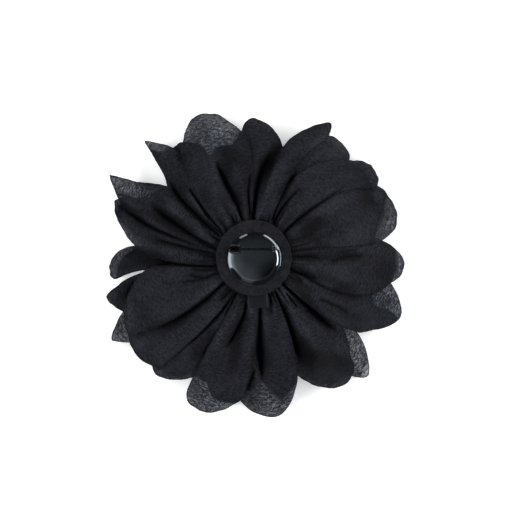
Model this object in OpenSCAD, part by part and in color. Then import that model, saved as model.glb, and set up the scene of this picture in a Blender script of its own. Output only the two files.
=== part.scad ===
// Fabric flower brooch, lying on its face with the pin side up.
// The frame stands on the surface below the flower, at the middle of its outline. +Z is up, away from the
// flower's face. +Y is the flower's upper edge and +X its right edge, both as seen from the back.

/* [Flower] */
// Place of the backing disc's axis across the outline's middle
disc_x = -0.6; // [-3:0.1:3]
// Place of the backing disc's axis along the outline's middle
disc_y = 3.2; // [-4:0.1:4]
// Height of the petals' roots above the surface
root_height = 12; // [11:0.25:14]
// How far a petal falls between its root and the outermost tip
droop = 10.5; // [7:0.25:10.5]
// Thickness of a petal's wall
petal_wall = 1; // [1:0.05:1.1]
// Step between overlapping petals beside the disc
ply_step_inner = 1.35; // [1.3:0.05:1.4]
// Step between overlapping petals further out
ply_step_outer = 1.65; // [1.5:0.05:1.8]
// Height of the soft waves that run round the petals near their tips
wave_height = 1.1; // [0:0.1:1.2]

/* [Flower centre] */
// Widest radius of the padded centre on the flower's face
centre_radius = 12.5; // [11:0.25:13]
// Radius of the neck that the petals are sewn round
neck_radius = 8.7; // [8:0.1:8.8]
// Radius where the petals' roots begin
hub_radius = 9.2; // [9.1:0.1:9.6]

/* [Backing and label] */
// Radius of the felt disc
felt_radius = 16.1; // [15:0.1:16.5]
// Thickness of the felt
felt_thickness = 1.4; // [1.2:0.1:1.6]
// How deep the plate presses into the felt
felt_press = 0.2; // [0.1:0.05:0.4]
// Height of the felt's lower face above the surface
felt_base = 15.8; // [15.8:0.1:16.2]
// Width of the ribbon tab
label_width = 8.5; // [7:0.25:10]
// How far the tab shows past the felt
label_drop = 5.3; // [4:0.1:6]
// Thickness of the folded ribbon
label_thickness = 1; // [0.8:0.1:1]
// Turn of the tab against the pin's line
label_turn = 4; // [0:0.5:8]

/* [Pin plate] */
// Radius of the plate with its thin flange
plate_radius = 11.4; // [10.5:0.1:12]
// Radius of the dome inside the flange
dome_radius = 10.7; // [10:0.1:11]
// Thickness of the flange
flange_thickness = 0.6; // [0.5:0.1:1]
// Radius of the dome's rounded shoulder
shoulder_radius = 3.2; // [2.6:0.1:3.6]

/* [Pin] */
// Distance of the pin's line from the plate's middle
pin_line = 4.2; // [3.5:0.1:4.5]
// Height of the pin's axis above the flange
pin_height = 3.5; // [3.3:0.1:3.8]
// Diameter of the pin
stem_diameter = 0.8; // [0.7:0.05:0.9]
// Place of the hinge's rivet along the pin's line, from the disc's axis
hinge_x = 8.6; // [8:0.1:9]
// Place of the pin's point along the pin's line, from the disc's axis
point_x = -10.9; // [-11.5:0.1:-10.7]
// Place of the catch's middle along the pin's line, from the disc's axis
catch_x = -8.2; // [-8.4:0.1:-8]
// Length of the catch's saddle
saddle_length = 3.2; // [2.8:0.1:3.4]

/* [Hidden] */
// Clearances: between soft pieces, between seated hard pieces, and round a turning pair
gap = 0.3;
seat_gap = 0.1;
running_gap = 0.08;

// Columns of the petals' table. Angles are in degrees about the disc's axis, anticlockwise from +X.
// Each pair gives the petal's clockwise side and then its anticlockwise side.
NAME = 0; // node
NECK = 1; // angle of its root on the flower's neck
INNER = 2; // angles of its two edges beside the felt disc
MIDDLE = 3; // angles of its two edges halfway out
OUTER = 4; // angles of its two edges near the tips
TIP = 5; // angle and radius of its tip
SIDE = 6; // radii where the rim meets its two edges
ROUND = 7; // roundness of the rim on its two sides: 1 is straight, 2 is an ellipse
LEVEL = 8; // plies below its two edges, negative where it lies lower than the rest
FOLDS = 9; // for each main fold, where it runs from -1 to 1 across, and its height
PETALS = [
    ["petal_01", 98, [93, 139], [90, 132], [97, 123], [110, 66.3], [50, 50], [1.7, 2], [1, 2], [[-0.1, -2.2], [0.6, 0.4]]],
    ["petal_02", 82, [82, 97], [74, 95], [75.5, 103], [90.3, 60.3], [42, 44], [1.6, 1.6], [0, 0], [[0.2, -1.6]]],
    ["petal_03", 66, [66, 87], [66, 79], [58.5, 77], [60.5, 67], [60, 44], [2, 1.25], [2, 1], [[-0.2, 0.8]]],
    ["petal_04", 49, [52, 64], [48, 67], [41, 65], [54, 62.7], [48, 54], [2, 2], [0, 0], [[0, 0.5]]],
    ["petal_05", 33, [43, 69], [40, 64], [30, 45], [36.5, 64.5], [60, 57], [2, 2], [1, 1], [[-0.2, 0.8]]],
    ["petal_06", 16, [12, 48], [7, 46], [8, 33], [19, 64.5], [50, 58], [2.4, 2], [1, 0], [[-0.3, -0.9], [0.3, 0.5]]],
    ["petal_07", 0, [-16, 17], [-22, 12], [-12, 9], [-1.8, 65], [54, 52], [2, 1.4], [1, 0], [[0, -1], [-0.5, 0.7]]],
    ["petal_08", -16, [-40, -10], [-40, -15], [-33.5, -7], [-22.5, 68.5], [55.5, 54], [1.25, 1.4], [1, 0], [[0.4, -1], [-0.2, 0.6]]],
    ["petal_09", -33, [-48, -36], [-50, -36], [-52, -33], [-45.5, 71], [60, 50], [1.7, 1.15], [-2, -2], [[0, 0]]],
    ["petal_10", -49, [-64, -34], [-70, -34], [-74, -46], [-55, 67.4], [48, 60], [1.3, 2], [0, 0], [[0.5, -1.3], [-0.1, 0.8]]],
    ["petal_11", -65, [-88, -60], [-95, -65], [-101, -71], [-82.5, 69.3], [52, 52], [1.6, 1.65], [0, 1], [[-0.45, -2.2], [0.2, 0.7]]],
    ["petal_12", -82, [-115, -83], [-117, -89], [-117, -94], [-107, 70], [60, 60], [3, 1.2], [1, 1], [[-0.1, -1.2], [0.4, 0.6]]],
    ["petal_13", -98, [-125, -110], [-129, -112], [-137, -111], [-129, 65.6], [55, 50], [2.2, 1.3], [0, 0], [[0, -0.4]]],
    ["petal_14", -115, [-147, -120], [-149, -125.5], [-153, -130], [-141, 65.7], [56, 60], [2, 2], [1, 1], [[-0.35, -0.5], [0.2, 0.6]]],
    ["petal_15", -131, [-158, -146], [-160, -144], [-160, -143], [-150, 71], [56, 58], [1.2, 1.2], [0, 0], [[0, 0]]],
    ["petal_16", -148, [-166, -142], [-175, -142], [-173, -147], [-148, 63.5], [42, 60], [1.6, 2], [2, 2], [[-0.1, 1.3]]],
    ["petal_17", -164, [-166, -158], [-173, -157], [-168.8, -154], [-165, 66], [57, 56], [1.6, 1.3], [1, 1], [[0, 0]]],
    ["petal_18", -180, [-178, -163], [-184, -173], [-187, -171.3], [-176, 62.7], [48, 60], [1.7, 2.5], [0, 0], [[0, 0.4]]],
    ["petal_19", -196, [-195, -170], [-200, -178.5], [-205, -185], [-202, 64.9], [58, 44], [2, 1.4], [0, 1], [[-0.2, -1], [0.4, 0.5]]],
    ["petal_20", -213, [-214, -190], [-223, -196], [-219, -201], [-210, 72], [42, 60], [0.92, 1.05], [0, 1], [[0.4, -1.2], [-0.5, -1.8]]],
    ["petal_21", -229, [-226, -209], [-233, -218], [-239, -217], [-226.6, 69.3], [48, 48], [1.15, 0.68], [1, 1], [[-0.1, -0.9]]],
    ["petal_22", -246, [-238, -227], [-241, -230], [-244, -229], [-236, 59.3], [50, 50], [2, 2], [-1, -1], [[0, 0]]],
];

// Radii at which the table gives the petals' edges
INNER_R = 17;
MIDDLE_R = 38;
OUTER_R = 60;
// Where the necks end, and half a neck's width in degrees
FAN_R = 12.5;
NECK_HALF = 6;
// Width of a fold, as a share of half the petal
FOLD_WIDTH = 0.22;
// Rows of the petal mesh along its length, as shares of it, and its columns across
ROWS = [0, 0.06, 0.14, 0.25, 0.38, 0.52, 0.66, 0.8, 0.91, 1];
COLUMNS = 8;

function ramp(x, a, b) = min(1, max(0, (x - a) / (b - a)));
function ease(t) = t * t * (3 - 2 * t);
function mix(a, b, t) = a + (b - a) * t;

// Edge angle at radius r: straight from the neck to the felt's edge, then a parabola through three angles
function parabola(r, a, b, c) =
    a * (r - MIDDLE_R) * (r - OUTER_R) / ((INNER_R - MIDDLE_R) * (INNER_R - OUTER_R))
    + b * (r - INNER_R) * (r - OUTER_R) / ((MIDDLE_R - INNER_R) * (MIDDLE_R - OUTER_R))
    + c * (r - INNER_R) * (r - MIDDLE_R) / ((OUTER_R - INNER_R) * (OUTER_R - MIDDLE_R));
function edge(p, side, r) =
    let (neck = p[NECK] + (side == 0 ? -NECK_HALF : NECK_HALF))
    r < INNER_R ? mix(neck, p[INNER][side], ramp(r, FAN_R, INNER_R))
    : parabola(min(r, OUTER_R), p[INNER][side], p[MIDDLE][side], p[OUTER][side]);

// Radius of the rim at u, from -1 on the clockwise edge to 1 on the other
function rim(p, u) =
    let (
        tip_u = mix(-1, 1, ramp(p[TIP][0], p[OUTER][0], p[OUTER][1])),
        side = u < tip_u ? 0 : 1,
        reach = side == 0 ? 1 + tip_u : 1 - tip_u,
        w = reach < 0.01 ? 0 : min(1, abs(u - tip_u) / reach),
        roundness = p[ROUND][side]
    )
    p[SIDE][side] + (p[TIP][1] - p[SIDE][side]) * pow(1 - pow(w, roundness), 1 / roundness);

// The cloth's shape that all petals share: it falls outwards, in soft waves round the flower
function drape(r, angle) =
    root_height - droop * pow(ramp(r, 14, 70), 1.4)
    + wave_height * pow(r / 60, 2) * (sin(5 * angle + 40) + 0.6 * sin(8 * angle - 70));
// How far one ply lies above the next, and how many plies are below the petal at u
function ply_step(r) = mix(ply_step_inner, ply_step_outer, ramp(r, 20, 35)) * ramp(r, hub_radius, FAN_R);
function level(p, u) = mix(p[LEVEL][0], p[LEVEL][1], ease(ramp(u, -0.5, 0.5)));
function sum(list, i = 0) = i == len(list) ? 0 : list[i] + sum(list, i + 1);
// A petal's own folds fade out at its edges, where it lies on or under its neighbours
function own_folds(p, u, r) =
    let (
        across = [for (f = p[FOLDS]) f[1] * exp(-pow((u - f[0]) / FOLD_WIDTH, 2))],
        along = ramp(r, 16, 26) * (1 - 0.5 * ramp(r, 40, p[TIP][1])),
        inside = 1 - pow(ramp(abs(u), 0.4, 1), 2)
    )
    sum(across) * along * inside;

function petal_point(p, u, v, side) =
    let (
        r = mix(hub_radius, rim(p, u), v),
        angle = mix(edge(p, 0, r), edge(p, 1, r), (u + 1) / 2),
        z = drape(r, angle) + level(p, u) * ply_step(r) + own_folds(p, u, r)
    )
    [disc_x + r * cos(angle), disc_y + r * sin(angle), max(z, petal_wall / 2) + side * petal_wall / 2];

module petal(p) {
    across = COLUMNS + 1;
    rows = len(ROWS);
    layer = across * rows;
    points = [
        for (side = [-1, 1])
            for (v = ROWS)
                for (i = [0:COLUMNS])
                    petal_point(p, 2 * i / COLUMNS - 1, v, side)
    ];
    cells = [for (j = [0:rows - 2]) for (i = [0:COLUMNS - 1]) j * across + i];
    around = concat(
        [for (i = [0:COLUMNS - 1]) i],
        [for (j = [0:rows - 2]) j * across + COLUMNS],
        [for (i = [COLUMNS:-1:1]) (rows - 1) * across + i],
        [for (j = [rows - 1:-1:1]) j * across]
    );
    count = len(around);
    bottom = [for (k = cells) each [[k, k + 1, k + across], [k + 1, k + across + 1, k + across]]];
    top = [for (f = bottom) [f[2] + layer, f[1] + layer, f[0] + layer]];
    wall = [
        for (n = [0:count - 1])
            let (a = around[n], b = around[(n + 1) % count])
            each [[a, a + layer, b], [b, a + layer, b + layer]]
    ];
    color([0.09, 0.09, 0.1]) polyhedron(points, concat(bottom, top, wall));
}

// Heights of what lies on the felt
FELT_TOP = felt_base + felt_thickness;
PLATE_BASE = FELT_TOP - felt_press + seat_gap;
FLANGE_TOP = PLATE_BASE + flange_thickness;
PIN_Z = FLANGE_TOP + pin_height;
PIN_Y = disc_y + pin_line - 0.35;
PLATE_X = disc_x + 0.2;
PLATE_Y = disc_y - 0.35;
HINGE_X = disc_x + hinge_x;
CATCH_X = disc_x + catch_x;
POINT_X = disc_x + point_x;

// Shape of the hinge and the catch
RIVET_R = 0.45;
EYE_R = 1;
EYE_WIDTH = 1.3;
EAR_THICKNESS = 0.6;
EAR_R = 0.95;
BARREL_R = 1.45;
BARREL_BORE_R = 0.6;
BARREL_SLOT = 1.1;
COLLAR_R = 1.9;
COLLAR_THICKNESS = 0.35;
TAB_REACH = 2.4;
SADDLE_WALL = 0.55;
SADDLE_OPENING = 2.2;
SADDLE_FOOT = 2.2;
POINT_LENGTH = 4.7;

// The padded centre: flat where it rests, full at the sides, with a neck up to the felt
module flower_centre() {
    flat = 5;
    full_z = 5.2;
    shoulder_z = root_height - 2.6;
    color([0.07, 0.07, 0.08])
    translate([disc_x, disc_y, 0])
        rotate_extrude($fn = 64)
            polygon(concat(
                [[0, 0]],
                [for (t = [0:15:90]) [mix(flat, centre_radius, sin(t)), full_z * (1 - cos(t))]],
                [for (t = [15:15:90])
                    [mix(neck_radius, centre_radius, cos(t)), mix(full_z, shoulder_z, sin(t))]],
                [[neck_radius, felt_base - gap], [0, felt_base - gap]]
            ));
}

// The felt, with the shallow seat that the plate presses into it
module felt_disc() {
    color([0.1, 0.1, 0.11]) difference() {
        translate([disc_x, disc_y, felt_base])
            cylinder(r = felt_radius, h = felt_thickness, $fn = 96);
        translate([PLATE_X, PLATE_Y, FELT_TOP - felt_press])
            cylinder(r = plate_radius + seat_gap, h = felt_press + 1, $fn = 96);
    }
}

// The ribbon tab lies between the petals and the felt
module label_tab() {
    hidden = 3;
    middle_x = 1.5;
    color([0.13, 0.13, 0.14])
    translate([disc_x + middle_x, disc_y - felt_radius, felt_base - gap - label_thickness])
        rotate([0, 0, label_turn])
            translate([-label_width / 2, -label_drop, 0])
                cube([label_width, label_drop + hidden, label_thickness]);
}

// The thin flange, and the nearly flat dome on it with a rounded shoulder
module dome() {
    steep = 50;
    flat = 6;
    ring_r = dome_radius - shoulder_radius * sin(steep);
    ring_z = flange_thickness - shoulder_radius * cos(steep);
    crown_r = (ring_r + shoulder_radius * sin(flat)) / sin(flat);
    crown_z = ring_z + shoulder_radius * cos(flat) - crown_r * cos(flat);
    translate([PLATE_X, PLATE_Y, PLATE_BASE])
        rotate_extrude($fn = 96)
            polygon(concat(
                [[0, 0], [plate_radius, 0], [plate_radius, flange_thickness]],
                [for (t = [steep:-4:flat + 4])
                    [ring_r + shoulder_radius * sin(t), ring_z + shoulder_radius * cos(t)]],
                [for (t = [flat:-2:0]) [crown_r * sin(t), crown_z + crown_r * cos(t)]]
            ));
}

// A round bar along Y with its middle at x, y, z
module bar_y(x, y, z, r, width) {
    translate([x, y + width / 2, z]) rotate([90, 0, 0]) cylinder(r = r, h = width, $fn = 48);
}

// A round bar along X from x
module bar_x(x, y, z, r, length) {
    translate([x, y, z]) rotate([0, 90, 0]) cylinder(r = r, h = length, $fn = 48);
}

// Two ears on the plate, joined by the rivet
module hinge_ears() {
    inside = EYE_WIDTH / 2 + running_gap;
    for (s = [-1, 1])
        translate([0, s * (inside + EAR_THICKNESS / 2), 0]) {
            bar_y(HINGE_X, PIN_Y, PIN_Z, EAR_R, EAR_THICKNESS);
            translate([HINGE_X - EAR_R, PIN_Y - EAR_THICKNESS / 2, FLANGE_TOP - 0.1])
                cube([2 * EAR_R, EAR_THICKNESS, pin_height + 0.1]);
        }
    bar_y(HINGE_X, PIN_Y, PIN_Z, RIVET_R, EYE_WIDTH + 2 * EAR_THICKNESS);
}

// An open tube on a foot, which the catch's barrel turns in
module saddle() {
    bore_r = BARREL_R + running_gap;
    outer_r = bore_r + SADDLE_WALL;
    start = CATCH_X - saddle_length / 2;
    difference() {
        union() {
            bar_x(start, PIN_Y, PIN_Z, outer_r, saddle_length);
            translate([start, PIN_Y - SADDLE_FOOT / 2, FLANGE_TOP - 0.1])
                cube([saddle_length, SADDLE_FOOT, pin_height - BARREL_R]);
        }
        bar_x(start - 1, PIN_Y, PIN_Z, bore_r, saddle_length + 2);
        translate([start - 1, PIN_Y - SADDLE_OPENING / 2, PIN_Z])
            cube([saddle_length + 2, SADDLE_OPENING, outer_r + 1]);
    }
}

module pin_plate() {
    color([0.2, 0.21, 0.23]) union() {
        dome();
        hinge_ears();
        saddle();
    }
}

// The bar pin: an eye round the rivet, a straight shank and a long sharp point that lies in the catch
module pin_stem() {
    shank_r = stem_diameter / 2;
    shank_start = POINT_X + POINT_LENGTH;
    color([0.3, 0.31, 0.33]) difference() {
        union() {
            bar_y(HINGE_X, PIN_Y, PIN_Z, EYE_R, EYE_WIDTH);
            bar_x(shank_start, PIN_Y, PIN_Z, shank_r, HINGE_X - shank_start);
            translate([POINT_X, PIN_Y, PIN_Z]) rotate([0, 90, 0])
                cylinder(r1 = 0.08, r2 = shank_r, h = POINT_LENGTH, $fn = 48);
        }
        bar_y(HINGE_X, PIN_Y, PIN_Z, RIVET_R + running_gap, EYE_WIDTH + 1);
    }
}

// The barrel turns about the pin. Its slot is up at rest, which frees the pin.
module catch_barrel() {
    start = CATCH_X - saddle_length / 2 - running_gap - COLLAR_THICKNESS;
    length = saddle_length + 2 * (running_gap + COLLAR_THICKNESS);
    inner_face = start + length - COLLAR_THICKNESS;
    color([0.26, 0.27, 0.29]) difference() {
        union() {
            bar_x(start, PIN_Y, PIN_Z, BARREL_R, length);
            bar_x(start, PIN_Y, PIN_Z, COLLAR_R, COLLAR_THICKNESS);
            bar_x(inner_face, PIN_Y, PIN_Z, COLLAR_R, COLLAR_THICKNESS);
            translate([inner_face, PIN_Y, PIN_Z - 0.5])
                cube([COLLAR_THICKNESS, TAB_REACH, 1]);
        }
        bar_x(start - 1, PIN_Y, PIN_Z, BARREL_BORE_R, length + 2);
        translate([start - 1, PIN_Y - BARREL_SLOT / 2, PIN_Z])
            cube([length + 2, BARREL_SLOT, COLLAR_R + 1]);
    }
}

for (p = PETALS)
    petal(p);
flower_centre();
felt_disc();
label_tab();
pin_plate();
pin_stem();
catch_barrel();
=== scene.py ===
"""Fabric flower brooch, lying on its face with the pin side up.

The petals are thin sheets of crepe in place of the CAD's walls, worked out from the same table. Sizes in the
tables and shape functions are millimetres and degrees about the felt disc's axis, anticlockwise from +X.
"""
import math

import bpy
import numpy as np
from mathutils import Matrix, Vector


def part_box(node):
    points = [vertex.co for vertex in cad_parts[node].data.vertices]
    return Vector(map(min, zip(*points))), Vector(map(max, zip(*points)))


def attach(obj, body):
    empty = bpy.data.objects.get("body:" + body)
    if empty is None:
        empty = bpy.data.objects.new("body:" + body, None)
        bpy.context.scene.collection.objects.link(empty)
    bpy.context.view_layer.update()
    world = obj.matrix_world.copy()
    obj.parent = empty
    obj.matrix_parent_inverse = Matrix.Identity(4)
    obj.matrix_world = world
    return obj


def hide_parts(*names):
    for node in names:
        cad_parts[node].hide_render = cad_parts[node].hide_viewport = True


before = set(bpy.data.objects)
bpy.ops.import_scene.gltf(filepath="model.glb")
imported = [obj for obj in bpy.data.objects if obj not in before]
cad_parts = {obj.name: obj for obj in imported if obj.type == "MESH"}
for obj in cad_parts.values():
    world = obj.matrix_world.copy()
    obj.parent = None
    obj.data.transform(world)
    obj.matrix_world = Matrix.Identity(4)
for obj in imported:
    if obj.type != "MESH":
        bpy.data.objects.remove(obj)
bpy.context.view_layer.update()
MM = 0.001

# The CAD's sizes that the shapes below share
ROOT_HEIGHT = 12.0
DROOP = 10.5
WAVE_HEIGHT = 1.1
HUB_R = 9.2
FAN_R = 12.5
INNER_R = 17.0
MIDDLE_R = 38.0
OUTER_R = 60.0
FOLD_WIDTH = 0.22

# Sizes that only the cloth here has
CLOTH = 0.26  # thickness of the crepe
NECK_HALF = 8.0  # half a neck's width in degrees, 2 more than the CAD's, so that the gathered necks meet
PLY_INNER = 1.25  # step from one ply to the next beside the felt
PLY_OUTER = 0.7  # the same near the tips
CUT_EDGE = 0.4  # how far in from its cut edge a petal is thicker and darker
GATHERS = 78  # small pleats round the felt
ACROSS = 64  # cells of a petal across
ALONG = 120  # cells of a petal along
SIDE_SHARE = 0.05  # share of half a petal's width that the short cells beside its edge take
RIM_SHARE = 0.02  # share of its length that they take beside its rim
SHORT_CELLS = np.array([0, 0.25, 0.6, 1])
FOLD_END = 0.72  # share of a traced line after which its fold dies away
SLOPE_WIDTH = 2.6  # how much wider a fold's slopes are than its floor
CROSSING = 0.3  # how much of the weaker of two folds is added where they cross
PATCH_DEPTH = 0.8  # how far a dark patch sinks
CREPE_DARK = (0.0028, 0.003, 0.004)
CREPE_LIGHT = (0.0245, 0.0255, 0.0335)

# The felt, the ribbon and the metal, as in the CAD
FELT_R = 16.1
FELT_BASE = 15.8
FELT_TOP = 17.2
FELT_PRESS = 0.2
RIBBON_WIDTH = 8.5
RIBBON_HEM = 0.75  # turned under along each side, which makes the edge thicker
RIBBON_DROP = 5.3
RIBBON_HIDDEN = 3.0
RIBBON_X = 1.5
RIBBON_TURN = 4.0
RIBBON_TOP = 15.5
RIBBON_STACK = 1.0
RIBBON_PLY = 0.35
PLATE_X = -0.4
PLATE_Y = 2.85
PLATE_BASE = 17.1
PLATE_R = 11.4
DOME_R = 10.7
FLANGE = 0.6
SHOULDER_R = 3.2
FOOT_Z = PLATE_BASE + FLANGE - 0.1  # where the hinge and the catch start inside the plate
HINGE_X = 8.0
CATCH_X = -8.8
PIN_Y = 7.05
PIN_Z = 21.2
EYE_WIDTH = 1.3
EAR_R = 0.95
EAR_THICKNESS = 0.6
RIVET_R = 0.45
TURNING_GAP = 0.08
BARREL_R = 1.45
SADDLE_WALL = 0.55
SADDLE_HALF = 1.1
SADDLE_LENGTH = 3.2

# Scale and middle of the felt disc in the photograph, in its pixels
MM_PER_PIXEL = 0.43
DISC_PIXEL = (254, 258)

# The petals by number, as in the CAD: neck angle, edge angles beside the felt, halfway and near the tip, the
# tip's angle and radius, radii where the rim meets the edges, roundness of the rim, plies below the edges,
# main folds. Each pair has the clockwise side first.
PETALS = {
    1: (98, (93, 139), (90, 132), (97, 123), (110, 66.3), (50, 50), (1.7, 2), (1, 2),
        ((-0.1, -2.2), (0.6, 0.4))),
    2: (82, (82, 97), (74, 95), (75.5, 103), (90.3, 60.3), (42, 44), (1.6, 1.6), (0, 0), ((0.2, -1.6),)),
    3: (66, (66, 87), (66, 79), (58.5, 77), (60.5, 67), (60, 44), (2, 1.25), (2, 1), ((-0.2, 0.8),)),
    4: (49, (52, 64), (48, 67), (41, 65), (54, 62.7), (48, 54), (2, 2), (0, 0), ((0, 0.5),)),
    5: (33, (43, 69), (40, 64), (30, 45), (36.5, 64.5), (60, 57), (2, 2), (1, 1), ((-0.2, 0.8),)),
    6: (16, (12, 48), (7, 46), (8, 33), (19, 64.5), (50, 58), (2.4, 2), (1, 0), ((-0.3, -0.9), (0.3, 0.5))),
    7: (0, (-16, 17), (-22, 12), (-12, 9), (-1.8, 65), (54, 52), (2, 1.4), (1, 0), ((0, -1), (-0.5, 0.7))),
    8: (-16, (-40, -10), (-40, -15), (-33.5, -7), (-22.5, 68.5), (55.5, 54), (1.25, 1.4), (1, 0),
        ((0.4, -1), (-0.2, 0.6))),
    9: (-33, (-48, -36), (-50, -36), (-52, -33), (-45.5, 71), (60, 50), (1.7, 1.15), (-2, -2), ()),
    10: (-49, (-64, -34), (-70, -34), (-74, -46), (-55, 67.4), (48, 60), (1.3, 2), (0, 0),
        ((0.5, -1.3), (-0.1, 0.8))),
    11: (-65, (-88, -60), (-95, -65), (-101, -71), (-82.5, 69.3), (52, 52), (1.6, 1.65), (0, 1),
        ((-0.45, -2.2), (0.2, 0.7))),
    12: (-82, (-115, -83), (-117, -89), (-117, -94), (-107, 70), (60, 60), (3, 1.2), (1, 1),
        ((-0.1, -1.2), (0.4, 0.6))),
    13: (-98, (-125, -110), (-129, -112), (-137, -111), (-129, 65.6), (55, 50), (2.2, 1.3), (0, 0),
        ((0, -0.4),)),
    14: (-115, (-147, -120), (-149, -125.5), (-153, -130), (-141, 65.7), (56, 60), (2, 2), (1, 1),
        ((-0.35, -0.5), (0.2, 0.6))),
    15: (-131, (-158, -146), (-160, -144), (-160, -143), (-150, 71), (56, 58), (1.2, 1.2), (0, 0), ()),
    16: (-148, (-166, -142), (-175, -142), (-173, -147), (-148, 63.5), (42, 60), (1.6, 2), (2, 2),
        ((-0.1, 1.3),)),
    17: (-164, (-166, -158), (-173, -157), (-168.8, -154), (-165, 66), (57, 56), (1.6, 1.3), (1, 1), ()),
    18: (-180, (-178, -163), (-184, -173), (-187, -171.3), (-176, 62.7), (48, 60), (1.7, 2.5), (0, 0),
        ((0, 0.4),)),
    19: (-196, (-195, -170), (-200, -178.5), (-205, -185), (-202, 64.9), (58, 44), (2, 1.4), (0, 1),
        ((-0.2, -1), (0.4, 0.5))),
    20: (-213, (-214, -190), (-223, -196), (-219, -201), (-210, 72), (42, 60), (0.92, 1.05), (0, 1),
        ((0.4, -1.2), (-0.5, -1.8))),
    21: (-229, (-226, -209), (-233, -218), (-239, -217), (-226.6, 69.3), (48, 48), (1.15, 0.68), (1, 1),
        ((-0.1, -0.9),)),
    22: (-246, (-238, -227), (-241, -230), (-244, -229), (-236, 59.3), (50, 50), (2, 2), (-1, -1), ()),
}

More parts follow.
